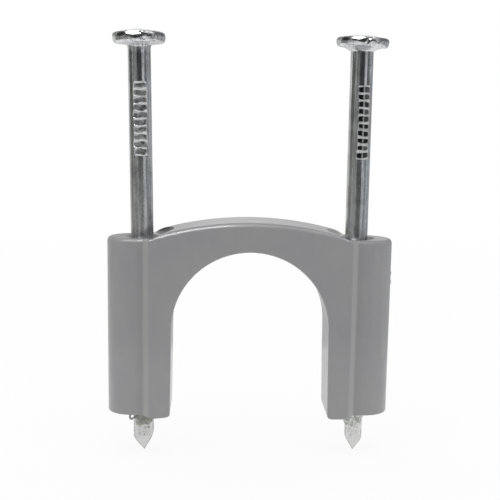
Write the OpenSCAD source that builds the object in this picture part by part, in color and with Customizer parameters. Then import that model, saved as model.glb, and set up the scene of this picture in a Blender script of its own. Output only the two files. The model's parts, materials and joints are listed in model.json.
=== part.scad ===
// Two-nail cable strap: a moulded arch that holds one round cable to a wall, a nail waiting in each boss.
// The wall is the plane z = 0, the cable runs along Y and the nails are driven towards -Z.

/* [Cable opening] */
// Radius of the cable the arch closes over
cable_r = 9.525; // [5:0.025:20]
// Height of the opening's centre above the wall
centre_h = 11.15; // [4:0.05:30]
// Lean of each leg's inner face away from the cable, in degrees
leg_draft = 0.75; // [0:0.05:3]

/* [Arch plate] */
// Thickness of the arch over the crown of the opening
crown_wall = 3.575; // [2:0.025:8]
// Radius of the arch's outer edge
arch_r = 40.4; // [30:0.1:80]
// Radius of the two rims along the outer edge
arch_rim_r = 0.45; // [0.1:0.05:1]
// Depth of the plate along the cable
plate_t = 7; // [6.4:0.1:20]
// Distance from the end of the plate's face to the nail's axis
plate_setback = 0.8; // [0.4:0.05:2]
// Radius of a leg's corner between cable and wall
toe_r = 0.45; // [0.1:0.05:1]

/* [Nail bosses] */
// Distance between the two bores
nail_spacing = 26.1; // [25:0.1:60]
// Depth of a boss along the cable, which is also the diameter of its round end
boss_t = 5.8; // [5:0.1:6]
// Reach of a boss past its nail's axis
boss_reach = 4.4; // [3.3:0.05:8]
// Height of the shoulder that a nail's head is driven down to
shoulder_h = 22.15; // [18:0.05:22.4]
// Radius of a shoulder's rim
shoulder_rim_r = 0.55; // [0.1:0.05:1]
// Width of the slanted strip between the plate's face and the boss
strip_w = 0.7; // [0.3:0.05:1]
// Height of a boss's foot above the wall
foot_rise = 0.3; // [0.1:0.05:1]
// Width of the slant from a leg's foot up to the boss's foot
foot_slant_w = 1.4; // [0.8:0.05:2]

/* [Nail seats] */
// Clearance of a bore around its shank
bore_gap = 0.06; // [0.02:0.01:0.3]
// Clearance of a spot-face around its nail's head
head_gap = 0.5; // [0.2:0.05:1]

/* [Nails] */
// Radius of a shank
shank_r = 1.37; // [1:0.01:1.6]
// Length from a head's underside to the tip
nail_l = 50.15; // [40:0.05:60]
// How far a tip stands out below the wall plane before the nail is driven
tip_out = 5.1; // [3:0.05:8]
// Lean of the left nail and its bore away from the cable, in degrees
left_lean = 0.8; // [0:0.1:1.5]
// Length of the four-sided point
point_l = 1.6; // [1:0.1:4]
// Half width across the flats of the pinched end above the point
pinch_r = 1.15; // [0.9:0.05:1.35]
// Length of the pinched end, point and all
pinch_l = 6; // [5:0.5:12]
// Radius of a head
head_r = 3.15; // [2.6:0.05:3.5]
// Height of a head's rim
head_rim_h = 1.25; // [1:0.05:1.6]
// Radius of a rim's rounded edges
head_edge_r = 0.36; // [0.05:0.01:0.45]
// Height of the dome on a head
dome_h = 0.35; // [0.1:0.05:0.5]
// Radius of the cone under a head, where the two meet
cone_r = 2.15; // [1.8:0.05:2.5]
// Height of the cone under a head
cone_h = 0.45; // [0.3:0.05:1]

/* [Grip marks] */
// Number of marks along each side of a shank
grip_count = 11; // [1:1:20]
// Distance from one mark to the next
grip_pitch = 0.86; // [0.6:0.02:1.5]
// Distance from a head's underside to the first mark
grip_start = 4.25; // [2:0.05:10]
// Depth of a mark
grip_depth = 0.22; // [0.05:0.01:0.3]
// Height of a mark at the shank's surface
grip_h = 0.46; // [0.2:0.02:0.56]

/* [Moulding gate] */
// Height of the broken gate above the wall
gate_z = 17.27; // [4:0.01:18]
// Height of the stub the gate left
gate_h = 1.3; // [0.5:0.1:3]
// Depth of the stub along the cable
gate_t = 0.7; // [0.3:0.1:2]
// How far the stub stands proud of the boss
gate_out = 0.14; // [0.05:0.01:0.3]

/* [Hidden] */
$fn = 96;

over = 1;
nail_x = nail_spacing / 2;
crown_h = centre_h + cable_r + crown_wall;
arch_axis_h = crown_h - arch_r;
face_x = nail_x - plate_setback;
strip_slope = (plate_t - boss_t) / 2 / strip_w;
strip_x = face_x + strip_w;
strip_end_x = strip_x + shoulder_rim_r;
foot_x = strip_x - foot_slant_w;
boss_half_t = boss_t / 2;
boss_end_x = nail_x + boss_reach - boss_half_t;
bore_r = shank_r + bore_gap;
cone_slope = (cone_r - shank_r) / cone_h;
mouth_r = cone_r + bore_gap;
spot_r = head_r + head_gap;

// A leg's inner face is tangent to the opening's circle; this is its half distance at a height over the wall.
function leg_x(z) = (cable_r + (centre_h - z) * sin(leg_draft)) / cos(leg_draft);

module opening_profile() {
    tangent_x = cable_r * cos(leg_draft);
    tangent_z = centre_h + cable_r * sin(leg_draft);
    translate([0, centre_h]) circle(r = cable_r, $fn = 180);
    polygon([
        [-leg_x(-over), -over],
        [leg_x(-over), -over],
        [tangent_x, tangent_z],
        [-tangent_x, tangent_z]
    ]);
}

// What is taken off the corner between the right leg's inner face and its foot.
module toe_profile() {
    away = [cos(leg_draft), sin(leg_draft)];
    middle = [leg_x(toe_r) + toe_r / cos(leg_draft), toe_r];
    clear = middle - (toe_r + over) * away;
    difference() {
        polygon([middle, clear, [clear.x, -over], [middle.x, -over]]);
        translate(middle) circle(r = toe_r);
    }
}

// Flat feet whose outer corners slant up to the bosses' feet.
module outline_profile() {
    polygon([
        [-strip_end_x, foot_rise],
        [-strip_x, foot_rise],
        [-foot_x, 0],
        [foot_x, 0],
        [strip_x, foot_rise],
        [strip_end_x, foot_rise],
        [strip_end_x, crown_h + over],
        [-strip_end_x, crown_h + over]
    ]);
}

module front_profile() {
    difference() {
        intersection() {
            translate([0, arch_axis_h]) circle(r = arch_r, $fn = 360);
            outline_profile();
        }
        opening_profile();
        toe_profile();
        mirror([1, 0]) toe_profile();
    }
}

// Seen from above: two parallel faces that slant back into the bosses at their ends.
module plan_profile() {
    face_y = plate_t / 2;
    end_y = face_y - strip_slope * (strip_end_x - face_x);
    polygon([
        [-strip_end_x, -end_y],
        [-face_x, -face_y],
        [face_x, -face_y],
        [strip_end_x, -end_y],
        [strip_end_x, end_y],
        [face_x, face_y],
        [-face_x, face_y],
        [-strip_end_x, end_y]
    ]);
}

// The square corner outside a rounded rim, turned around the arch's axis.
module arch_rim_cut() {
    translate([0, 0, arch_axis_h])
        rotate([90, 0, 0])
            rotate_extrude($fn = 360)
                translate([arch_r - arch_rim_r, plate_t / 2 - arch_rim_r])
                    difference() {
                        square(arch_rim_r + over);
                        circle(r = arch_rim_r);
                    }
}

module plate() {
    difference() {
        intersection() {
            rotate([90, 0, 0])
                linear_extrude(plate_t, center = true) front_profile();
            linear_extrude(crown_h + over) plan_profile();
        }
        arch_rim_cut();
        mirror([0, 1, 0]) arch_rim_cut();
    }
}

// Half of a boss's cross-section: straight side, rounded rim, flat shoulder.
module boss_profile() {
    translate([0, foot_rise]) {
        square([boss_half_t - shoulder_rim_r, shoulder_h - foot_rise]);
        square([boss_half_t, shoulder_h - shoulder_rim_r - foot_rise]);
    }
    translate([boss_half_t - shoulder_rim_r, shoulder_h - shoulder_rim_r])
        circle(r = shoulder_rim_r);
}

module boss() {
    root_x = face_x - over;
    translate([root_x, 0, 0])
        rotate([90, 0, 90])
            linear_extrude(boss_end_x - root_x) {
                boss_profile();
                mirror([1, 0]) boss_profile();
            }
    translate([boss_end_x, 0, 0]) rotate_extrude() boss_profile();
}

// Tips a nail, or the bore it stands in, about the middle of its boss.
module leaning(angle) {
    translate([0, 0, shoulder_h / 2])
        rotate([0, angle, 0])
            translate([0, 0, -shoulder_h / 2])
                children();
}

// Bore and countersink are one turned tool; its cone runs on past the shoulder, so a tipped one has no lip.
module bore_cut() {
    rotate_extrude()
        polygon([
            [0, -over],
            [bore_r, -over],
            [bore_r, shoulder_h - cone_h],
            [mouth_r + head_gap * cone_slope, shoulder_h + head_gap],
            [0, shoulder_h + head_gap]
        ]);
}

module seat_cut(angle) {
    translate([0, 0, shoulder_h]) cylinder(r = spot_r, h = crown_h + over - shoulder_h);
    leaning(angle) bore_cut();
}

// The gate broke off hollow, so that only the stub's two ends stand proud.
module gate_stub() {
    scoop_r = (gate_h * gate_h / 4 + gate_out * gate_out) / (2 * gate_out);
    translate([nail_x + boss_reach, 0, gate_z])
        difference() {
            cube([2 * gate_out, gate_t, gate_h], center = true);
            translate([scoop_r, 0, 0])
                rotate([90, 0, 0])
                    cylinder(r = scoop_r, h = gate_t + over, center = true);
        }
}

module strap() {
    color([0.42, 0.42, 0.43])
        difference() {
            union() {
                plate();
                boss();
                mirror([1, 0, 0]) boss();
                gate_stub();
            }
            translate([nail_x, 0, 0]) seat_cut(0);
            translate([-nail_x, 0, 0]) seat_cut(-left_lean);
        }
}

// Half of a nail's outline, from a blunt lower end up to the domed head.
module nail_profile() {
    flat_r = head_r - head_edge_r;
    dome_r = (flat_r * flat_r + dome_h * dome_h) / (2 * dome_h);
    square([shank_r, nail_l]);
    polygon([
        [0, nail_l - cone_h],
        [shank_r, nail_l - cone_h],
        [cone_r, nail_l],
        [0, nail_l]
    ]);
    translate([0, nail_l]) {
        square([flat_r, head_rim_h]);
        translate([0, head_edge_r]) square([head_r, head_rim_h - 2 * head_edge_r]);
        translate([flat_r, head_edge_r]) circle(r = head_edge_r);
        translate([flat_r, head_rim_h - head_edge_r]) circle(r = head_edge_r);
        intersection() {
            translate([0, head_rim_h + dome_h - dome_r]) circle(r = dome_r);
            translate([0, head_rim_h / 2]) square([flat_r, head_rim_h / 2 + dome_h]);
        }
    }
}

// A wedge with its edge on the tip and straight sides above it, which flare out over the pinched end.
// Two of them crossed leave the four facets of the point and the four flats.
module point_wedge() {
    reach = head_r + over;
    flare_h = (reach - pinch_r) * point_l / pinch_r;
    rotate([90, 0, 0])
        linear_extrude(2 * reach, center = true)
            polygon([
                [0, 0],
                [pinch_r, point_l],
                [pinch_r, pinch_l],
                [reach, pinch_l + flare_h],
                [reach, nail_l + reach],
                [-reach, nail_l + reach],
                [-reach, pinch_l + flare_h],
                [-pinch_r, pinch_l],
                [-pinch_r, point_l]
            ]);
}

module grip_mark() {
    slope = grip_h / 2 / grip_depth;
    rotate([90, 0, 90])
        linear_extrude(2 * shank_r, center = true)
            polygon([
                [shank_r - grip_depth, 0],
                [shank_r + grip_depth, 2 * grip_depth * slope],
                [shank_r + grip_depth, -2 * grip_depth * slope]
            ]);
}

module nail() {
    first_mark = nail_l - grip_start;
    translate([0, 0, -tip_out])
        difference() {
            intersection() {
                rotate_extrude() nail_profile();
                point_wedge();
                rotate([0, 0, 90]) point_wedge();
            }
            for (i = [0 : grip_count - 1])
                translate([0, 0, first_mark - i * grip_pitch]) {
                    grip_mark();
                    mirror([0, 1, 0]) grip_mark();
                }
        }
}

module nail_left() {
    color([0.72, 0.74, 0.76]) translate([-nail_x, 0, 0]) leaning(-left_lean) nail();
}

module nail_right() {
    color([0.72, 0.74, 0.76]) translate([nail_x, 0, 0]) nail();
}

strap();
nail_left();
nail_right();
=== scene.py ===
import bpy
import json
import math
import random
from mathutils import Euler, Matrix, Vector


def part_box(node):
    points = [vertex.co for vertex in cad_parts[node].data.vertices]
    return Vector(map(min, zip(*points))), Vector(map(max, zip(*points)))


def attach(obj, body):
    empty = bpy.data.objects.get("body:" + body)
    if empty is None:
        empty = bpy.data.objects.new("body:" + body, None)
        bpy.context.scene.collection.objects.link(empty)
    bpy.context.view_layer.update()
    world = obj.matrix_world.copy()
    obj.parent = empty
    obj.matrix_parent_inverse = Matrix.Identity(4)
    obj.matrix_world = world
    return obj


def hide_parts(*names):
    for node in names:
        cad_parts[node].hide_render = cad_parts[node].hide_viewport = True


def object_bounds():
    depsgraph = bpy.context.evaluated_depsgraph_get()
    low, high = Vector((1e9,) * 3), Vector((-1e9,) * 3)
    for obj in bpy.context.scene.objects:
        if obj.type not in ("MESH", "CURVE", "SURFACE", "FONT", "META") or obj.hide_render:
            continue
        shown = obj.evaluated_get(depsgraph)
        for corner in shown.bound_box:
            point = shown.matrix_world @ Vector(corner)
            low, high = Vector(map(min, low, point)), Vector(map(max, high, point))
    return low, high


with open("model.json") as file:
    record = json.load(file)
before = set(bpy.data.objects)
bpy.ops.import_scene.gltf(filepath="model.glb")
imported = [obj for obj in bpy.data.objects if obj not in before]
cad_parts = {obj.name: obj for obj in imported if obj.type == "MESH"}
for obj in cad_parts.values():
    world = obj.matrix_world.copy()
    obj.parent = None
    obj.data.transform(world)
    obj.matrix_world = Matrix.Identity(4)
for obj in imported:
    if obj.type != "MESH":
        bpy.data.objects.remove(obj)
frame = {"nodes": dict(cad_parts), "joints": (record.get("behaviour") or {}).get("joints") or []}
cadLow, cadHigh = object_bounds()
print("frame loaded")

mm = 0.001
scene = bpy.context.scene
scene.view_settings.view_transform = "Standard"


def deselectAll():
    bpy.ops.object.select_all(action="DESELECT")


def activate(piece):
    deselectAll()
    piece.select_set(True)
    bpy.context.view_layer.objects.active = piece


# camera: where the photographer stood, found from the strap's edges
cameraSet = {
    "place": (-4.581 * mm, -115.291 * mm, 38.61 * mm),
    "turn": 0.0396,
    "dip": 0.1557,
    "roll": 0.0153,
    "lens": 68.4,
}


def aimCamera(place, turn, dip, roll, lens):
    deselectAll()
    bpy.ops.object.camera_add(location=place)
    camera = bpy.context.object
    camera.name = "photoCamera"
    right = Vector((math.cos(turn), -math.sin(turn), 0))
    ahead = Vector((math.sin(turn) * math.cos(dip), math.cos(turn) * math.cos(dip), -math.sin(dip)))
    up = right.cross(ahead)
    rolledRight = right * math.cos(roll) + up * math.sin(roll)
    rolledUp = up * math.cos(roll) - right * math.sin(roll)
    turned = Matrix((rolledRight, rolledUp, -ahead)).transposed()
    camera.matrix_world = Matrix.Translation(place) @ turned.to_4x4()
    camera.data.lens = lens
    camera.data.clip_start = 0.005
    scene.camera = camera


aimCamera(**cameraSet)
print("camera set")


class Wire:
    # one socket in a material, so that shader maths reads as plain expressions
    def __init__(self, paint, socket):
        self.paint = paint
        self.socket = socket

    def maths(self, operation, first, second=None):
        values = [first] if second is None else [first, second]
        return self.paint.node("ShaderNodeMath", {"operation": operation}, values)

    def __add__(self, other):
        return self.maths("ADD", self, other)

    def __sub__(self, other):
        return self.maths("SUBTRACT", self, other)

    def __rsub__(self, other):
        return self.maths("SUBTRACT", other, self)

    def __mul__(self, other):
        return self.maths("MULTIPLY", self, other)

    __radd__ = __add__
    __rmul__ = __mul__

    def above(self, edge, soft):
        # 0 below the edge, 1 above it, with a soft step between
        settings = {"interpolation_type": "SMOOTHSTEP"}
        values = {"Value": self, "From Min": edge - soft, "From Max": edge + soft}
        return self.paint.node("ShaderNodeMapRange", settings, values)

    def size(self):
        return self.maths("ABSOLUTE", self)

    def length(self):
        return self.paint.node("ShaderNodeVectorMath", {"operation": "LENGTH"}, [self], "Value")

    def part(self, axis):
        return self.paint.node("ShaderNodeSeparateXYZ", {}, [self], axis)


class Paint:
    # a material under work: its node tree and its main shader
    def __init__(self, name):
        self.material = bpy.data.materials.new(name)
        self.material.use_nodes = True
        self.tree = self.material.node_tree
        self.shader = self.tree.nodes["Principled BSDF"]

    def plug(self, holder, key, value):
        if isinstance(value, Wire):
            self.tree.links.new(value.socket, holder.inputs[key])
        else:
            holder.inputs[key].default_value = value

    def node(self, kind, settings=None, sockets=None, out=0):
        made = self.tree.nodes.new(kind)
        for name, value in (settings or {}).items():
            setattr(made, name, value)
        pairs = sockets.items() if isinstance(sockets, dict) else enumerate(sockets or [])
        for key, value in pairs:
            self.plug(made, key, value)
        return Wire(self, made.outputs[out])

    def place(self, stretch=(1, 1, 1), shift=(0, 0, 0)):
        raw = self.node("ShaderNodeTexCoord", out="Object")
        return self.node("ShaderNodeMapping", {}, {"Vector": raw, "Location": shift, "Scale": stretch})

    def noise(self, where, scale, detail=3.0, rough=0.5):
        values = {"Vector": where, "Scale": scale, "Detail": detail, "Roughness": rough}
        return self.node("ShaderNodeTexNoise", {}, values, "Fac")

    def blend(self, amount, first, second):
        # a colour between two colours, which are inputs 6 and 7 and output 2 of the node
        return self.node("ShaderNodeMix", {"data_type": "RGBA"}, {0: amount, 6: first, 7: second}, 2)

    def bump(self, height, strength, depth):
        values = {"Height": height, "Strength": strength, "Distance": depth}
        return self.node("ShaderNodeBump", {}, values)

    def attribute(self, name):
        return self.node("ShaderNodeAttribute", {"attribute_name": name}, {}, "Fac")

    def finish(self, **sockets):
        for name, value in sockets.items():
            self.plug(self.shader, name.replace("_", " "), value)
        return self.material


def grey(level, tint=(1, 1, 1)):
    # an sRGB level of 0 to 255 as the linear colour that a shader takes
    linear = [((level * t / 255 + 0.055) / 1.055) ** 2.4 for t in tint]
    return (*linear, 1)


# remeshing, then the places on the strap that shapes, painted shade and painted light are set out from
strapSet = {
    "weld": 0.002 * mm,
    "cell": 0.12 * mm,
    "smoothing": 3,
    "keep": 0.54,
    "heelX": -11.9 * mm,
    "toeX": -9.6 * mm,
    "toeRise": 0.25 * mm,
    "toeH": 1 * mm,
    "archR": 40.4 * mm,
    "plateHalf": 3.5 * mm,
    "bossHalf": 2.9 * mm,
    "faceX": 12.25 * mm,
    "stripX": 12.95 * mm,
    "nailX": 13.05 * mm,
    "spotR": 3.65 * mm,
    "shoulderZ": 22.15 * mm,
    "crownZ": 24.25 * mm,
    "archRimR": 0.72 * mm,
    "bossRimR": 0.52 * mm,
}

# colours, finish, noise scales, and the bounds of wear, painted shade and painted light
plasticSet = {
    "dark": grey(136, (0.996, 0.994, 1.02)),
    "light": grey(144, (1.004, 1, 0.996)),
    # worn edges, and painted light on the slanted strips
    "wornAndLit": grey(168, (1.01, 1.005, 0.985)),
    # painted light, for the pocket beside the right nail
    "paintedLight": grey(200, (1.01, 1.005, 0.985)),
    # painted shade, for creases, the left pocket, the bore's mouth and the strips' edge
    "paintedShade": grey(58, (1.0, 1.0, 0.96)),
    "shadeReach": 0.9 * mm,
    "coat": 0.5,
    "coatRoughness": 0.1,
    "roughness": 0.42,
    "patch": 210.0,
    "flow": 900.0,
    "speck": 5200.0,
    "wear": 1500.0,
    "swell": 1800.0,
    "pocketInR": 2.4 * mm,
    # how far under the arch's top the left pocket's painted shade reaches
    "shadeDepth": 0.3 * mm,
    "mouthR": 2.15 * mm,
    "mouthX": 0.9 * mm,
    "mouthY": 0.75 * mm,
    "rimDepth": 0.8 * mm,
}


def pocketMask(radial, height):
    # the pocket behind a bore, above the shoulder
    inside = 1 - radial.above(strapSet["spotR"] + 0.08 * mm, 0.05 * mm)
    inside = inside * radial.above(plasticSet["pocketInR"], 0.3 * mm)
    return inside * height.above(strapSet["shoulderZ"] + 0.02 * mm, 0.06 * mm)


def plasticPaint():
    paint = Paint("mouldedPlastic")
    where = paint.place()
    fromMiddle, fromPlane, height = where.part("X").size(), where.part("Y").size(), where.part("Z")
    faceX, stripX, nailX, shoulderZ = (strapSet[key] for key in ("faceX", "stripX", "nailX", "shoulderZ"))
    patch = paint.noise(where, plasticSet["patch"], 2.0)
    flow = paint.noise(paint.place((1, 1, 0.35)), plasticSet["flow"], 4.0, 0.6)
    speck = paint.noise(where, plasticSet["speck"], 2.0, 0.6)
    tone = patch * 0.45 + flow * 0.35 + speck * 0.35
    colour = paint.blend(tone.above(0.58, 0.3), plasticSet["dark"], plasticSet["light"])
    roughness = plasticSet["roughness"] + flow * 0.08 + speck * 0.06 - 0.07
    # edges are a little worn, but not the flat faces of the plate and the bosses
    plateFlat = fromPlane.above(strapSet["plateHalf"] - 0.05 * mm, 0.02 * mm)
    bossFlat = 1 - height.above(shoulderZ - plasticSet["rimDepth"], 0.1 * mm)
    bossFlat = bossFlat * fromMiddle.above(faceX, 0.1 * mm)
    edge = paint.node("ShaderNodeNewGeometry", out="Pointiness").above(0.535, 0.03)
    edge = edge * (1 - plateFlat) * (1 - bossFlat)
    rubbed = edge * paint.noise(where, plasticSet["wear"], 3.0).above(0.5, 0.25) * 0.35
    colour = paint.blend(rubbed, colour, plasticSet["wornAndLit"])
    # painted shade: creases and recesses found by the AO node are darkened in the colour
    reach = {"Distance": plasticSet["shadeReach"]}
    shut = 1 - paint.node("ShaderNodeAmbientOcclusion", {"samples": 8}, reach, "AO")
    colour = paint.blend(shut * 0.1 + shut.above(0.75, 0.15) * 0.25, colour, plasticSet["paintedShade"])
    # painted shade in the pocket beside the left nail, close under the arch's top
    pocket = pocketMask(paint.place((1, 1, 0), (nailX, 0, 0)).length(), height)
    out = paint.place((1, 0, 1), (0, 0, strapSet["archR"] - strapSet["crownZ"])).length()
    pocket = pocket * out.above(strapSet["archR"] - plasticSet["shadeDepth"], 0.12 * mm)
    colour = paint.blend(pocket * 0.85, colour, plasticSet["paintedShade"])
    # painted light makes the pocket beside the right nail paler, and painted shade darkens the outer side
    # of the bore's mouth
    fromRight = paint.place((1, 1, 0), (-nailX, 0, 0))
    colour = paint.blend(pocketMask(fromRight.length(), height) * 0.7, colour, plasticSet["paintedLight"])
    mouth = 1 - fromRight.length().above(plasticSet["mouthR"], 0.12 * mm)
    mouth = mouth * fromRight.part("X").above(plasticSet["mouthX"], 0.3 * mm)
    mouth = mouth * (1 - fromPlane.above(plasticSet["mouthY"], 0.2 * mm))
    mouth = mouth * height.above(shoulderZ - 0.15 * mm, 0.05 * mm)
    colour = paint.blend(mouth * 0.9, colour, plasticSet["paintedShade"])
    # painted light makes the slanted strips a little paler, and painted shade gives a darker line where
    # each meets its boss
    strip = fromMiddle.above(faceX + 0.06 * mm, 0.08 * mm)
    strip = strip * (1 - fromMiddle.above(stripX - 0.05 * mm, 0.08 * mm))
    strip = strip * fromPlane.above(strapSet["bossHalf"] - 0.1 * mm, 0.1 * mm)
    colour = paint.blend(strip * 0.3, colour, plasticSet["wornAndLit"])
    crease = fromMiddle.above(stripX + 0.05 * mm, 0.1 * mm)
    crease = crease * (1 - fromMiddle.above(stripX + 0.7 * mm, 0.6 * mm))
    colour = paint.blend(crease * 0.06, colour, plasticSet["paintedShade"])
    # the bosses' rims have less gloss than the arch's
    dull = fromMiddle.above(nailX + 0.4 * mm, 0.25 * mm)
    dull = dull * height.above(shoulderZ - plasticSet["rimDepth"], 0.15 * mm)
    skin = speck * 0.6 + paint.noise(where, plasticSet["swell"], 3.0) * 0.4
    return paint.finish(
        Base_Color=colour,
        Roughness=roughness,
        Coat_Weight=(1 - dull * 0.85) * plasticSet["coat"],
        Coat_Roughness=plasticSet["coatRoughness"],
        Normal=paint.bump(skin, 0.12, 0.02 * mm),
    )


# colours, finish, noise scales, and the heights where the nails' look changes
zincSet = {
    "bright": (0.70, 0.715, 0.735, 1),
    "dull": (0.42, 0.425, 0.42, 1),
    "stain": (0.13, 0.125, 0.11, 1),
    "pinched": (0.74, 0.74, 0.73, 1),
    # painted shade, for the point's four facets
    "facet": (0.6, 0.6, 0.59, 1),
    # painted shade, for the notches and the pinched end's edges
    "zincShade": (0.02, 0.02, 0.021, 1),
    "scuffed": (0.66, 0.66, 0.65, 1),
    "roughness": 0.12,
    "drawing": 0.035,
    "streak": 4200.0,
    "line": 11000.0,
    "cloud": 650.0,
    "grain": 9000.0,
    "pit": 3600.0,
    "dash": 5200.0,
    "dot": 5600.0,
    "blotch": 2300.0,
    "scuff": 1900.0,
    "pinchTop": 0.4 * mm,
    "rubbedLow": 8 * mm,
    "rubbedHigh": 33 * mm,
    "fade": 9 * mm,
}


def zincPaint(name, shift, film, filmHigh, markShade, mottle, scuff, speckled):
    paint = Paint(name)
    where = paint.place(shift=shift)
    drawn = paint.place((1, 1, zincSet["drawing"]), shift)
    height = paint.place().part("Z")
    streak = paint.noise(drawn, zincSet["streak"], 4.0, 0.65)
    line = paint.noise(drawn, zincSet["line"], 2.0)
    cloud = paint.noise(where, zincSet["cloud"], 3.0)
    grain = paint.noise(where, zincSet["grain"], 2.0)
    tone = streak * 0.65 + cloud * 0.35
    colour = paint.blend(tone.above(0.48, 0.1), zincSet["dull"], zincSet["bright"])
    pinched = 1 - height.above(zincSet["pinchTop"], 0.5 * mm)
    colour = paint.blend(pinched * (1.1 - cloud * 0.7), colour, zincSet["pinched"])
    pit = (paint.noise(where, zincSet["pit"], 3.0, 0.6) + pinched * 0.05).above(0.68, 0.05) * 0.8
    colour = paint.blend(pit, colour, zincSet["stain"])
    # the lower part of the shank is rubbed and finely speckled
    rubbed = 1 - height.above(zincSet["rubbedHigh"], zincSet["fade"])
    rubbed = rubbed * height.above(zincSet["rubbedLow"], 4 * mm)
    speckle = paint.noise(drawn, zincSet["dash"], 2.0) * 0.3
    speckle = speckle + paint.noise(where, zincSet["dot"], 3.0, 0.7) * 0.7
    colour = paint.blend(rubbed * speckle.above(0.54, 0.07) * speckled, colour, zincSet["stain"])
    # painted shade in the bottoms of the grip marks and on the edges and sides of the pinched end
    blotch = paint.noise(where, zincSet["blotch"], 3.0, 0.6).above(0.5, 0.12)
    mark = paint.attribute("mark") * (1 - blotch * mottle)
    uneven = paint.noise(where, zincSet["scuff"], 3.0, 0.65).above(0.47, 0.13)
    bruise = paint.attribute("bruise") * (uneven * 0.65 + 0.35)
    edge = paint.attribute("edge").above(0.5, 0.45) * (blotch * 0.6 + 0.35)
    # painted shade: the point's facets are darker than the pinched flats above them
    colour = paint.blend(paint.attribute("facet"), colour, zincSet["facet"])
    colour = paint.blend(bruise * 0.9, colour, zincSet["scuffed"])
    # painted shade in the notches and along the pinched end's edges
    colour = paint.blend(mark * markShade, colour, zincSet["zincShade"])
    colour = paint.blend(edge, colour, zincSet["zincShade"])
    # the plating dulls towards the strap
    filmed = (1 - height.above(filmHigh, zincSet["fade"])) * film
    roughness = zincSet["roughness"] + streak * 0.1 + pit * 0.3 + (bruise + mark) * 0.4
    roughness = roughness + filmed + pinched * 0.06
    relief = streak * 0.6 + line * 0.3 + grain * 0.1
    return paint.finish(
        Base_Color=colour,
        Metallic=1 - bruise * scuff,
        Roughness=roughness,
        Normal=paint.bump(relief, 0.26, 0.03 * mm),
    )


def dress(piece, material):
    piece.data.materials.clear()
    piece.data.materials.append(material)


def applyModifier(piece, kind, **settings):
    activate(piece)
    bpy.ops.object.modifier_add(type=kind)
    modifier = piece.modifiers[-1]
    for name, value in settings.items():
        setattr(modifier, name, value)
    bpy.ops.object.modifier_apply(modifier=modifier.name)


def settle(piece, angle=35):
    # place goes into the mesh, doubles are merged and the faces turn outwards
    activate(piece)
    bpy.ops.object.transform_apply(location=True, rotation=True, scale=True)
    bpy.ops.object.mode_set(mode="EDIT")
    bpy.ops.mesh.select_all(action="SELECT")
    bpy.ops.mesh.remove_doubles(threshold=0.001 * mm)
    bpy.ops.mesh.normals_make_consistent(inside=False)
    bpy.ops.object.mode_set(mode="OBJECT")
    bpy.ops.object.shade_smooth_by_angle(angle=math.radians(angle))


plastic = plasticPaint()
print("materials ready")


# the strap keeps the CAD form, with the soft edges and fillets of a moulding
def roundOff(across, down, radius):
    # a point near an edge, by its depth under the two faces that meet there
    gapAcross, gapDown = radius - across, radius - down
    reach = math.hypot(gapAcross, gapDown)
    if min(gapAcross, gapDown) <= 0 or reach <= radius:
        return across, down
    return radius - gapAcross * radius / reach, radius - gapDown * radius / reach


def softenRim(place, axisZ):
    # the arch's and the shoulders' rims roll over more than the solid's
    faceX, stripX, plateHalf = (strapSet[key] for key in ("faceX", "stripX", "plateHalf"))
    share = min(1, max(0, (abs(place.x) - faceX) / (stripX - faceX)))
    half = plateHalf - (plateHalf - strapSet["bossHalf"]) * share
    side = math.copysign(1, place.y)
    if abs(place.x) < faceX:
        out = math.hypot(place.x, place.z - axisZ)
        across, down = roundOff(half - abs(place.y), strapSet["archR"] - out, strapSet["archRimR"])
        keep = (strapSet["archR"] - down) / out
        place.x *= keep
        place.z = axisZ + (place.z - axisZ) * keep
    else:
        across, down = roundOff(half - abs(place.y), strapSet["shoulderZ"] - place.z, strapSet["bossRimR"])
        place.z = strapSet["shoulderZ"] - down
    place.y = side * (half - across)


def liftToe(place):
    # the left foot's face rises a little towards the cable
    share = (place.x - strapSet["heelX"]) / (strapSet["toeX"] - strapSet["heelX"])
    if 0 < share < 1.1 and place.z < strapSet["toeH"]:
        place.z += strapSet["toeRise"] * share * (1 - max(0, place.z) / strapSet["toeH"])


def makeStrap():
    source = frame["nodes"]["strap"]
    piece = bpy.data.objects.new("strapMoulding", source.data.copy())
    scene.collection.objects.link(piece)
    activate(piece)
    bpy.ops.object.mode_set(mode="EDIT")
    bpy.ops.mesh.select_all(action="SELECT")
    bpy.ops.mesh.remove_doubles(threshold=strapSet["weld"])
    bpy.ops.object.mode_set(mode="OBJECT")
    applyModifier(piece, "REMESH", mode="VOXEL", voxel_size=strapSet["cell"])
    applyModifier(piece, "SMOOTH", factor=0.5, iterations=strapSet["smoothing"])
    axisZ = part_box("strap")[1].z - strapSet["archR"]
    for vertex in piece.data.vertices:
        softenRim(vertex.co, axisZ)
        liftToe(vertex.co)
    # flat faces need fewer points than the rims
    applyModifier(piece, "DECIMATE", ratio=strapSet["keep"])
    bpy.ops.object.shade_smooth()
    dress(piece, plastic)
    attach(piece, "strap")
    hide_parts("strap")
    print("strap faces", len(piece.data.polygons))


makeStrap()

# one nail blank, upright on its tip; both nails are made from copies of it
nailSet = {
    "sides": 128,
    "shankR": 1.37 * mm,
    "pointL": 2.0 * mm,
    "pinchR": 1.19 * mm,
    "pinchL": 6.0 * mm,
    "coneR": 2.15 * mm,
    "coneH": 0.45 * mm,
    "headH": 1.25 * mm,
    "lowR": 0.42 * mm,
    "rimTaper": 13,
    "rimFlat": 0.22 * mm,
    "topR": 0.4 * mm,
    "domeH": 0.35 * mm,
    "gripTop": 4.0 * mm,
    "gripL": 10.2 * mm,
    "coneCurve": 1.2,
}


def growRing(rise, scale):
    bpy.ops.mesh.extrude_region_move(TRANSFORM_OT_translate={"value": (0, 0, rise)})
    if scale != 1:
        bpy.ops.transform.resize(value=(scale, scale, 1))


def shares(count):
    return [step / count for step in range(1, count + 1)]


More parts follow.
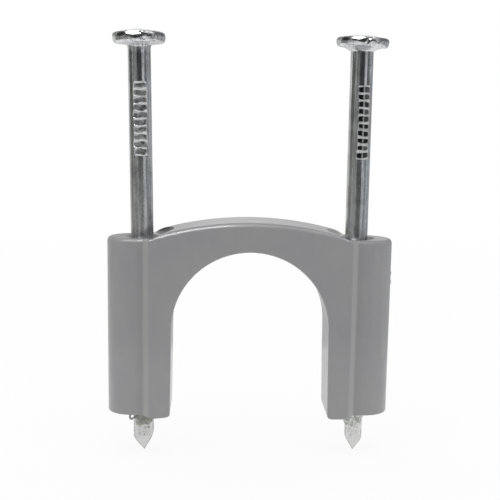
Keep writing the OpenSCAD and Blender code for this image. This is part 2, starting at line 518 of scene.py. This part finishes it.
def nailStations(reach, headR):
    # (height, radius) of each ring above the tip; the marked stretch has close rings
    shankR, coneR, coneH, curve = (nailSet[key] for key in ("shankR", "coneR", "coneH", "coneCurve"))
    pointL, pinchL, headH = (nailSet[key] for key in ("pointL", "pinchL", "headH"))
    lowR, topR = nailSet["lowR"], nailSet["topR"]
    gripEnd = reach - nailSet["gripTop"]
    gripStart = gripEnd - nailSet["gripL"]
    # each stretch: from, to and its number of rings
    stretches = [
        (0, pointL, 20), (pointL, pinchL - 0.3 * mm, 24), (pinchL - 0.3 * mm, pinchL + 0.6 * mm, 12),
        (pinchL + 0.6 * mm, gripStart, 16), (gripStart, gripEnd, 230), (gripEnd, reach - coneH, 6),
    ]
    stations = []
    for low, high, rings in stretches:
        stations += [(low + (high - low) * share, shankR) for share in shares(rings)]
    for share in shares(6):
        stations.append((reach - coneH * (1 - share) ** curve, shankR + (coneR - shankR) * share ** curve))
    # the head: underside, lower rim, side, upper rim and dome
    wideZ = headH - topR - nailSet["rimFlat"]
    rimTurn = math.radians(90 - nailSet["rimTaper"])
    rimLow = lowR * (1 - math.cos(rimTurn))
    rimR = headR - (wideZ - rimLow) * math.tan(math.radians(nailSet["rimTaper"]))
    lowFlat, topFlat = rimR - lowR * math.sin(rimTurn), headR - topR
    stations += [(reach + 0.05 * mm * share, coneR + (lowFlat - coneR) * share) for share in shares(5)]
    base = stations[-1][0]
    for share in shares(7):
        turn = rimTurn * share
        stations.append((base + lowR * (1 - math.cos(turn)), lowFlat + lowR * math.sin(turn)))
    top = reach + headH
    for share in shares(5):
        stations.append((base + rimLow + (wideZ - rimLow) * share, rimR + (headR - rimR) * share))
    for share in shares(10):
        turn = math.pi / 2 * share
        stations.append((top - topR + topR * math.sin(turn), topFlat + topR * math.cos(turn)))
    # the dome's last ring is merged into one point afterwards
    for share in shares(23)[:-1]:
        stations.append((top + nailSet["domeH"] * (1 - (1 - share) ** 2), topFlat * (1 - share)))
    return stations


def makeBlank():
    rightLow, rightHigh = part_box("nail_right")
    headR = (rightHigh.x - rightLow.x) / 2
    reach = rightHigh.z - rightLow.z - nailSet["headH"] - nailSet["domeH"]
    stations = nailStations(reach, headR)
    shankR, pointL, pinchR, pinchL = (nailSet[key] for key in ("shankR", "pointL", "pinchR", "pinchL"))
    deselectAll()
    bpy.ops.mesh.primitive_circle_add(vertices=nailSet["sides"], radius=shankR, fill_type="NGON")
    blank = bpy.context.object
    blank.name = "nailBlank"
    bpy.ops.object.mode_set(mode="EDIT")
    bpy.ops.mesh.select_all(action="SELECT")
    height, radius = 0, shankR
    for nextHeight, nextRadius in stations:
        growRing(nextHeight - height, nextRadius / radius)
        height, radius = nextHeight, nextRadius
    bpy.ops.mesh.merge(type="CENTER")
    bpy.ops.object.mode_set(mode="OBJECT")
    # the lower end is pinched square, with four facets down to the point
    slope = pinchR / pointL
    for vertex in blank.data.vertices:
        place = vertex.co
        room = min(pinchR, place.z * slope) + max(0, place.z - pinchL) * slope
        most = max(abs(place.x), abs(place.y))
        if place.z < pinchL + 1 * mm and most > room:
            place.x *= room / most
            place.y *= room / most
    return blank, reach, headR


def tipMatrix(node, joint):
    # from an upright blank on its tip to where the node stands
    low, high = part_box(node)
    drive = Vector(next(j["axis"] for j in frame["joints"] if j["name"] == joint)).normalized()
    lean = math.atan2(drive.x, -drive.z)
    span = high.z - low.z
    headX = (low.x + blankHeadR) if lean > 0 else (low.x + high.x) / 2
    tip = Vector((headX + (span - nailSet["headH"] / 2) * math.sin(lean), 0, low.z))
    return Matrix.Translation(tip) @ Matrix.Rotation(-lean, 4, "Y")


def addAttributes(mesh, *names):
    for name in names:
        mesh.attributes.new(name, "FLOAT", "POINT")
    return [mesh.attributes[name] for name in names]


pointSet = {
    "runIn": 1.2 * mm,
    "edgeWidth": 0.14 * mm,
    "facetSoft": 0.1 * mm,
    "sideShade": 0.35,
    "frontSlope": 0.97,
}


def offsetPoint(mesh, pinched, apex, wide, corners, tapers):
    # the dies met a little off the shank's axis, and cut one side of the point higher
    pinchR, pinchL, pointL = (nailSet[key] for key in ("pinchR", "pinchL", "pointL"))
    edgeWidth, facetSoft = pointSet["edgeWidth"], pointSet["facetSoft"]
    edgeShades, facets = addAttributes(mesh, "edge", "facet")
    for vertex in mesh.vertices:
        place = vertex.co
        right = place.x > 0
        corner = corners[right]
        room = pinchR * min(1, place.z / corner)
        if place.z < corner and abs(place.x) > room:
            place.x = math.copysign(room, place.x)
        if place.z < pinchL:
            share = min(1, (pinchL - place.z) / pointSet["runIn"])
            front = place.y < 0 and abs(place.y) > abs(place.x) * pointSet["frontSlope"]
            # painted shade along the edges of the front faces and on the sides of the pinched end
            nearEdge = max(0, (abs(place.x) - room + edgeWidth) / edgeWidth)
            edgeShades.data[vertex.index].value = nearEdge if front else pointSet["sideShade"]
            # painted shade over the point's facets
            facets.data[vertex.index].value = min(1, max(0, (pointL + facetSoft - place.z) / facetSoft))
            backward = (place.y / pinchR + 1) / 2
            place.x *= (1 + (wide - 1) * share) * (1 - tapers[right] * backward * share)
            last = max(0, 1 - place.z / pointL)
            place.x += pinched * share + (apex - pinched) * last


gripSet = {
    "count": 10,
    "pitch": 0.866 * mm,
    "slope": 2.6,
    "span": 0.7 * mm,
    "margin": 0.5 * mm,
    # half width of the painted highlight line in each notch
    "litLineHalf": 0.16 * mm,
}


def markGrips(mesh, grips, shankR, reach):
    # each mark is a flat notch across the front or the back of the shank
    count, pitch, slope = (gripSet[key] for key in ("count", "pitch", "slope"))
    span, margin = gripSet["span"], gripSet["margin"]
    draw = random.Random(grips["seed"])
    # the mark attribute holds each notch bottom's painted shade
    marks, bruises = addAttributes(mesh, "mark", "bruise")
    top = reach - grips["first"] + margin
    bottom = reach - grips["first"] - (count - 1) * pitch - margin
    for facing in (-90, 90):
        for index in range(count):
            middle = reach - grips["first"] - index * pitch
            depth = grips["depth"] * draw.uniform(0.75, 1.15)
            slant = grips["slant"] + draw.uniform(-0.05, 0.05)
            swing = math.radians(facing + grips["swing"] * draw.uniform(0.9, 1.1))
            flat = grips["flat"] * draw.uniform(0.85, 1.15)
            waves, turns = draw.uniform(3, 6) / mm, draw.uniform(0, 6)
            markShades = [dark * draw.uniform(0.8, 1.1) for dark in grips["markShades"]]
            for vertex in mesh.vertices:
                place = vertex.co
                if abs(place.z - middle) > span:
                    continue
                across = -place.x * math.sin(swing) + place.y * math.cos(swing)
                out = place.x * math.cos(swing) + place.y * math.sin(swing)
                if out <= 0:
                    continue
                ripple = grips["ragged"] * flat * math.sin(across * waves + turns)
                away = abs(place.z - middle - across * slant + ripple)
                floor = shankR - depth + max(0, away - flat) * slope
                if bottom < place.z < top:
                    raised = (out - shankR + depth) / (0.2 * depth)
                    bruises.data[vertex.index].value = min(1, max(0, raised))
                if out > floor:
                    bite = min(1, (out - floor) / (0.3 * depth))
                    keep = floor / out
                    place.x *= keep
                    place.y *= keep
                    # painted highlight: a line down the middle of each notch is kept out of its painted
                    # shade and given the paler scuffed colour
                    litLine = max(0, 1 - abs(across) / gripSet["litLineHalf"]) * grips["litLineStrength"]
                    marks.data[vertex.index].value = min(1, bite * markShades[across > 0] * (1 - litLine))
                    bruises.data[vertex.index].value = max(grips["valley"], 1 - bite, litLine)


def hammerFacet(points, bearing, elevation, depth):
    # a flat struck across the head, facing a bearing from the front and an elevation
    turn, rise = math.radians(bearing), math.radians(elevation)
    facing = Vector((math.sin(turn) * math.cos(rise), -math.cos(turn) * math.cos(rise), math.sin(rise)))
    plane = max(point.dot(facing) for point in points) - depth * mm
    for point in points:
        over = point.dot(facing) - plane
        if over > 0:
            point -= facing * over


headSet = {"creaseY": -1.6 * mm, "creaseDrop": 0.5, "coreH": 0.1 * mm, "slack": 0.002 * mm}


def creaseHead(points, startX, startZ, endX, endZ, width, depth):
    # a pinched line on the front of the rim
    start = Vector((startX * mm, startZ * mm))
    run = Vector((endX * mm, endZ * mm)) - start
    for point in points:
        if point.y > headSet["creaseY"]:
            continue
        offset = Vector((point.x, point.z)) - start
        share = min(1, max(0, offset.dot(run) / run.length_squared))
        bite = max(0, 1 - (offset - run * share).length / (width * mm))
        point.y += depth * mm * bite
        point.z -= depth * mm * bite * headSet["creaseDrop"]


def shapeHead(mesh, head, reach):
    # points of the head are taken from its underside up, changed, tilted and put back
    slack = headSet["slack"]
    for vertex in mesh.vertices:
        below = reach - vertex.co.z
        if 0 < below < nailSet["coneH"] - slack:
            vertex.co.z = reach - below * head["cone"]
    chosen = [vertex for vertex in mesh.vertices if vertex.co.z > reach + slack]
    points = [Vector((v.co.x, v.co.y, (v.co.z - reach) * head["thick"])) for v in chosen]
    for facet in head["facets"]:
        hammerFacet(points, *facet)
    for crease in head["creases"]:
        creaseHead(points, *crease)
    tilt = Euler((0, math.radians(head["tilt"]), 0)).to_matrix()
    for vertex, point in zip(chosen, points):
        core = math.hypot(point.x, point.y) / nailSet["coneR"]
        share = min(1, core) if point.z < headSet["coreH"] else 1
        vertex.co = point.lerp(tilt @ point, share) + Vector((0, 0, reach))


# facets: (bearing, elevation, depth in mm); creases: x, z to x, z, width and depth, all in mm
nailLooks = {
    "nail_left": {
        "grips": {
            "seed": 4, "first": 4.84 * mm, "depth": 0.27 * mm, "flat": 0.27 * mm,
            "slant": 0.05, "swing": 5.0, "ragged": 0.22,
            "litLineStrength": 0.0, "valley": 0.3, "markShades": (0.75, 1.15),
        },
        "head": {
            "thick": 1.12,
            "cone": 0.4,
            "tilt": 0.0,
            "facets": [
                (-7, 27, 0.14), (29, 28, 0.045), (-35, 12, 0.04), (85, 82, 0.08), (-85, 80, 0.12),
                (-4, 6, 0.06), (26, 6, 0.04),
            ],
            "creases": [(0.3, 1.3, 0.76, 0.45, 0.17, 0.14)],
        },
        "point": {
            "pinched": -0.13 * mm, "apex": -0.16 * mm, "wide": 1.08,
            "corners": (1.97 * mm, 2.6 * mm), "tapers": (0, 0.13),
        },
        "metal": {
            "shift": (0.0, 0.0, 0.0), "film": 0.15, "filmHigh": 31 * mm,
            "markShade": 0.85, "mottle": 0.75, "scuff": 0.75, "speckled": 0.45,
        },
    },
    "nail_right": {
        "grips": {
            "seed": 9, "first": 4.93 * mm, "depth": 0.24 * mm, "flat": 0.24 * mm,
            "slant": -0.02, "swing": 12.0, "ragged": 0.12,
            "litLineStrength": 1.0, "valley": 0.0, "markShades": (1.2, 0.9),
        },
        "head": {
            "thick": 0.95,
            "cone": 1.0,
            "tilt": 2.0,
            "facets": [
                (-16, 27, 0.08), (12, 27, 0.05), (-50, 14, 0.04), (60, 40, 0.05), (100, 70, 0.06),
                (-8, 7, 0.05), (24, 6, 0.04),
            ],
            "creases": [(0.48, 1.15, -0.06, 0.3, 0.17, 0.13)],
        },
        "point": {
            "pinched": 0.26 * mm, "apex": 0.38 * mm, "wide": 0.94,
            "corners": (2.2 * mm, 1.93 * mm), "tapers": (0.26, 0),
        },
        "metal": {
            "shift": (0.013, 0.004, 0.021), "film": 0.05, "filmHigh": 26 * mm,
            "markShade": 1.0, "mottle": 0.0, "scuff": 0.5, "speckled": 0.22,
        },
    },
}


def makeNail(node, joint, grips, head, point, metal):
    name = node.replace("_left", "Left").replace("_right", "Right")
    piece = bpy.data.objects.new(name, blank.data.copy())
    scene.collection.objects.link(piece)
    offsetPoint(piece.data, **point)
    markGrips(piece.data, grips, nailSet["shankR"], blankReach)
    shapeHead(piece.data, head, blankReach)
    piece.matrix_world = tipMatrix(node, joint)
    settle(piece)
    dress(piece, zincPaint(name + "Zinc", **metal))
    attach(piece, node)
    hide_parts(node)


blank, blankReach, blankHeadR = makeBlank()
for nodeName, looks in nailLooks.items():
    makeNail(nodeName, nodeName + "_drive", **looks)
activate(blank)
bpy.ops.object.delete()
print("nails made")

# the skin of plastic that each point has pushed out of its bore and carries on its end
skinSet = {
    "spread": 96,
    "rise": 0.45 * mm,
    "columns": 72,
    "rows": 14,
    "thick": 0.06 * mm,
    "gap": 0.02 * mm,
    "tear": 0.05,
    "uneven": 0.02,
    "mottle": 2600.0,
    "cloud": 900.0,
}

# edge: (bearing from the front, height of the torn edge in mm)
skinLooks = {
    "nail_left": {
        "seed": 5,
        "edge": [
            (-96, 0.2), (-50, -0.25), (-40, -1.1), (-31, -1.36), (-22, -1.42), (8, -1.24), (30, -1.24),
            (46, -0.9), (60, -0.4), (96, 0.1),
        ],
        "tones": (grey(134, (1, 1, 0.94)), grey(178, (1, 1, 0.96))),
    },
    "nail_right": {
        "seed": 8,
        "edge": [
            (-96, -0.3), (-60, -1.0), (-45, -1.44), (-36, -1.5), (-21, -1.68), (2, -1.5), (20, -1.3),
            (37, -1.15), (45, -0.6), (96, 0.1),
        ],
        "tones": (grey(160, (0.99, 1, 0.97)), grey(232, (0.99, 1, 0.98))),
    },
}


def edgeHeight(edge, bearing):
    for (fromTurn, fromZ), (toTurn, toZ) in zip(edge[:-1], edge[1:]):
        if bearing <= toTurn:
            share = (bearing - fromTurn) / (toTurn - fromTurn)
            return (fromZ + (toZ - fromZ) * share) * mm
    return edge[-1][1] * mm


def skinPaint(name, tones):
    paint = Paint(name)
    where = paint.place()
    fine = paint.noise(where, skinSet["mottle"], 4.0, 0.65)
    mottle = fine * 0.6 + paint.noise(where, skinSet["cloud"], 2.0) * 0.4
    colour = paint.blend(mottle.above(0.5, 0.09), *tones)
    return paint.finish(
        Base_Color=colour,
        Roughness=mottle * 0.3 + 0.35,
        Normal=paint.bump(mottle, 0.6, 0.06 * mm),
    )


def makeSkin(node, joint, seed, edge, tones):
    name = "skin" + node.replace("nail_", "").capitalize()
    columns, rows = skinSet["columns"], skinSet["rows"]
    shankR, pinchR = nailSet["shankR"], nailSet["pinchR"]
    deselectAll()
    bpy.ops.mesh.primitive_grid_add(x_subdivisions=columns, y_subdivisions=rows, size=2)
    piece = bpy.context.object
    piece.name = name
    draw = random.Random(seed)
    tear = skinSet["tear"]
    torn = [draw.uniform(-tear, tear) * mm for step in range(columns + 1)]
    upright = tipMatrix(node, joint)
    toBlank = upright.inverted()
    pinched = nailLooks[node]["point"]["pinched"]
    for vertex in piece.data.vertices:
        bearing = vertex.co.x * skinSet["spread"]
        share = (vertex.co.y + 1) / 2
        column = round((vertex.co.x + 1) / 2 * columns)
        lowZ = edgeHeight(edge, bearing) + torn[min(column, columns)]
        worldZ = lowZ + (skinSet["rise"] - lowZ) * share
        turn = math.radians(bearing)
        square = pinchR / max(abs(math.sin(turn)), abs(math.cos(turn)))
        radius = min(shankR, square) + skinSet["gap"] + draw.uniform(0, skinSet["uneven"]) * mm
        radius += skinSet["thick"] * 0.5
        spot = Vector((math.sin(turn) * radius + pinched, -math.cos(turn) * radius, 0))
        spot.z = (toBlank @ Vector((0, 0, worldZ))).z
        vertex.co = upright @ spot
    applyModifier(piece, "SOLIDIFY", thickness=skinSet["thick"], offset=0)
    settle(piece, 50)
    dress(piece, skinPaint(name + "Plastic", tones))
    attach(piece, node)


for nodeName, looks in skinLooks.items():
    makeSkin(nodeName, nodeName + "_drive", **looks)

# a curl of flash that hangs from the left boss's foot
curlSet = {
    "sides": 14,
    "radius": 0.15 * mm,
    "flat": 1.3,
    "thinning": 0.35,
    "path": [
        (-14.5, -2.2, 0.5), (-14.55, -2.2, 0.2), (-14.62, -2.2, -0.1), (-14.6, -2.2, -0.32),
        (-14.48, -2.2, -0.42), (-14.32, -2.18, -0.38), (-14.12, -2.15, -0.26), (-13.92, -2.1, -0.14),
        (-13.75, -2.0, 0.02),
    ],
}


def makeCurl(sides, radius, flat, thinning, path):
    deselectAll()
    bpy.ops.mesh.primitive_circle_add(vertices=sides, radius=1, fill_type="NGON")
    piece = bpy.context.object
    piece.name = "flashCurl"
    bpy.ops.object.mode_set(mode="EDIT")
    bpy.ops.mesh.select_all(action="SELECT")
    for step in path[1:]:
        growRing(1, 1)
    bpy.ops.object.mode_set(mode="OBJECT")
    spots = [Vector(spot) * mm for spot in path]
    for vertex in piece.data.vertices:
        index = round(vertex.co.z)
        ahead = (spots[min(index + 1, len(spots) - 1)] - spots[max(index - 1, 0)]).normalized()
        side = Vector((0, 1, 0))
        other = ahead.cross(side).normalized()
        swell = 1 - thinning * index / len(spots)
        vertex.co = spots[index] + (other * vertex.co.x + side * vertex.co.y * flat) * radius * swell
    applyModifier(piece, "SUBSURF", levels=2, render_levels=2)
    settle(piece, 60)
    dress(piece, plastic)
    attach(piece, "strap")


makeCurl(**curlSet)
print("skins and flash made")

# studio: a pale floor under the tips, soft lamps, and panels that only metal and gloss reflect
stageSet = {
    "floorSize": 3.0,
    "floorGap": 0.02 * mm,
    "floorWhite": 0.8,
    "floorShow": 0.1,
    "fadeR": 0.17,
    "fadeSoft": 0.08,
    "skyDiffuse": 0.8,
    "ringR": 0.35,
    "ringLow": -0.085,
    "ringMiddle": 0.066,
    "ringHigh": 0.331,
    "riseZ": 0.03,
    "riseSoft": 0.04,
    "aim": Vector((0, 0, 0.02)),
}


def makeFloor():
    deselectAll()
    bpy.ops.mesh.primitive_plane_add(
        size=stageSet["floorSize"], location=(0, 0, cadLow.z - stageSet["floorGap"])
    )
    floor = bpy.context.object
    floor.name = "studioFloor"
    settle(floor)
    paint = Paint("floorPaper")
    white = stageSet["floorWhite"]
    paint.finish(Base_Color=(white, white, white, 1), Roughness=0.9)
    # the camera sees it nearly as its own white, fading to pure white far out, and still with a shadow
    glow = paint.node("ShaderNodeEmission", {}, {"Color": (1, 1, 1, 1), "Strength": 1.0})
    seen = paint.node("ShaderNodeLightPath", out="Is Camera Ray")
    far = paint.place().length().above(stageSet["fadeR"], stageSet["fadeSoft"])
    show = stageSet["floorShow"]
    paper = Wire(paint, paint.shader.outputs[0])
    shade = paint.node("ShaderNodeMixShader", {}, [seen * (far * show + (1 - show)), paper, glow])
    paint.plug(paint.tree.nodes["Material Output"], "Surface", shade)
    dress(floor, paint.material)
    floor.visible_glossy = False


def makePanel(name, place, turn, size, upper, lower):
    deselectAll()
    bpy.ops.mesh.primitive_plane_add(size=1, location=place, rotation=turn)
    panel = bpy.context.object
    panel.name = name
    panel.scale = (*size, 1)
    settle(panel)
    paint = Paint(name + "Light")
    rise = paint.place().part("Z").above(stageSet["riseZ"], stageSet["riseSoft"])
    colour = paint.blend(rise, (*lower, 1), (*upper, 1))
    dress(panel, paint.finish(
        Base_Color=(0, 0, 0, 1),
        Emission_Color=colour,
        Emission_Strength=1.0,
        Specular_IOR_Level=0.0,
        Roughness=1.0,
    ))
    for ray in ("camera", "diffuse", "transmission", "volume_scatter", "shadow"):
        setattr(panel, "visible_" + ray, False)


# ring of panels: bearings in degrees to the right of the camera's side, then upper and lower colour
streaks = {
    "darkFront": (-26, 26, (0.045, 0.047, 0.053), (0.125, 0.125, 0.13)),
    "brightRight": (27, 50, (0.85, 0.88, 0.93), (0.5, 0.51, 0.53)),
    "darkRight": (51, 80, (0.06, 0.065, 0.075), (0.33, 0.34, 0.35)),
    "midRight": (81, 167, (0.42, 0.44, 0.46), (0.46, 0.48, 0.5)),
    "midLeft": (-70, -27, (0.3, 0.3, 0.29), (0.28, 0.28, 0.27)),
    "darkLeft": (-120, -71, (0.06, 0.06, 0.045), (0.27, 0.27, 0.25)),
    "paleLeft": (-167, -121, (0.72, 0.72, 0.7), (0.7, 0.7, 0.68)),
    "paleBack": (168, 192, (0.65, 0.65, 0.65), (0.65, 0.65, 0.65)),
}

# the ring above it, which only the heads see
brows = {
    "browFarLeft": (-167, -113, (0.3, 0.3, 0.29)),
    "browLeft": (-112, -61, (0.02, 0.02, 0.018)),
    "browFront": (-60, 60, (0.05, 0.05, 0.048)),
    "browRight": (61, 158, (0.18, 0.18, 0.185)),
}

# level panels overhead, a grey ceiling with two bright boxes under it: place, (width, depth), level
ceilings = {
    "greyCeiling": ((0.0, 0.0, 0.332), (0.7, 0.7), 0.22),
    "boxLeft": ((-0.097, -0.14, 0.328), (0.17, 0.18), 12.0),
    "boxRight": ((0.145, -0.08, 0.328), (0.11, 0.12), 2.2),
}


def makeRing(name, start, end, low, high, upper, lower):
    middle = math.radians((start + end) / 2)
    half = math.radians((end - start) / 2)
    radius = stageSet["ringR"]
    place = (radius * math.sin(middle), -radius * math.cos(middle), (low + high) / 2)
    size = (2 * radius * math.tan(half), high - low)
    makePanel(name, place, (math.pi / 2, 0, middle), size, upper, lower)


def makePanels():
    low, middle, high = (stageSet[key] for key in ("ringLow", "ringMiddle", "ringHigh"))
    for name, (start, end, upper, lower) in streaks.items():
        makeRing(name, start, end, low, middle, upper, lower)
    for name, (start, end, colour) in brows.items():
        makeRing(name, start, end, middle, high, colour, colour)
    for name, (place, size, level) in ceilings.items():
        colour = (level, level, level)
        makePanel(name, place, (0, 0, 0), size, colour, colour)


# lamps that light the plastic and the floor: place, size in metres, power in watts
lamps = {
    "topLamp": ((-0.02, -0.08, 0.6), 0.45, 0.75),
    "rearLeftLamp": ((-0.53, 0.37, 0.22), 0.5, 0.8),
    "rearRightLamp": ((0.53, 0.37, 0.22), 0.5, 0.5),
    "sideLeftLamp": ((-0.6, -0.2, 0.17), 0.5, 0.5),
    "sideRightLamp": ((0.6, -0.2, 0.17), 0.5, 0.6),
}


def makeLamp(name, place, size, power):
    deselectAll()
    bpy.ops.object.light_add(type="AREA", location=place)
    lamp = bpy.context.object
    lamp.name = name
    lamp.data.shape = "DISK"
    lamp.data.size = size
    lamp.data.energy = power
    towards = stageSet["aim"] - Vector(place)
    lamp.rotation_euler = towards.to_track_quat("-Z", "Y").to_euler()


def makeSky():
    # full white for the camera and for gloss, a little less as light
    world = bpy.data.worlds.new("studioSky")
    scene.world = world
    world.use_nodes = True
    tree = world.node_tree
    back = tree.nodes["Background"]
    rays = tree.nodes.new("ShaderNodeLightPath")
    level = tree.nodes.new("ShaderNodeMapRange")
    level.inputs["To Min"].default_value = 1.0
    level.inputs["To Max"].default_value = stageSet["skyDiffuse"]
    tree.links.new(rays.outputs["Is Diffuse Ray"], level.inputs["Value"])
    tree.links.new(level.outputs[0], back.inputs["Strength"])
    back.inputs["Color"].default_value = (1, 1, 1, 1)


makeFloor()
makePanels()
for lampName, (lampPlace, lampSize, lampPower) in lamps.items():
    makeLamp(lampName, lampPlace, lampSize, lampPower)
makeSky()
print("studio set")
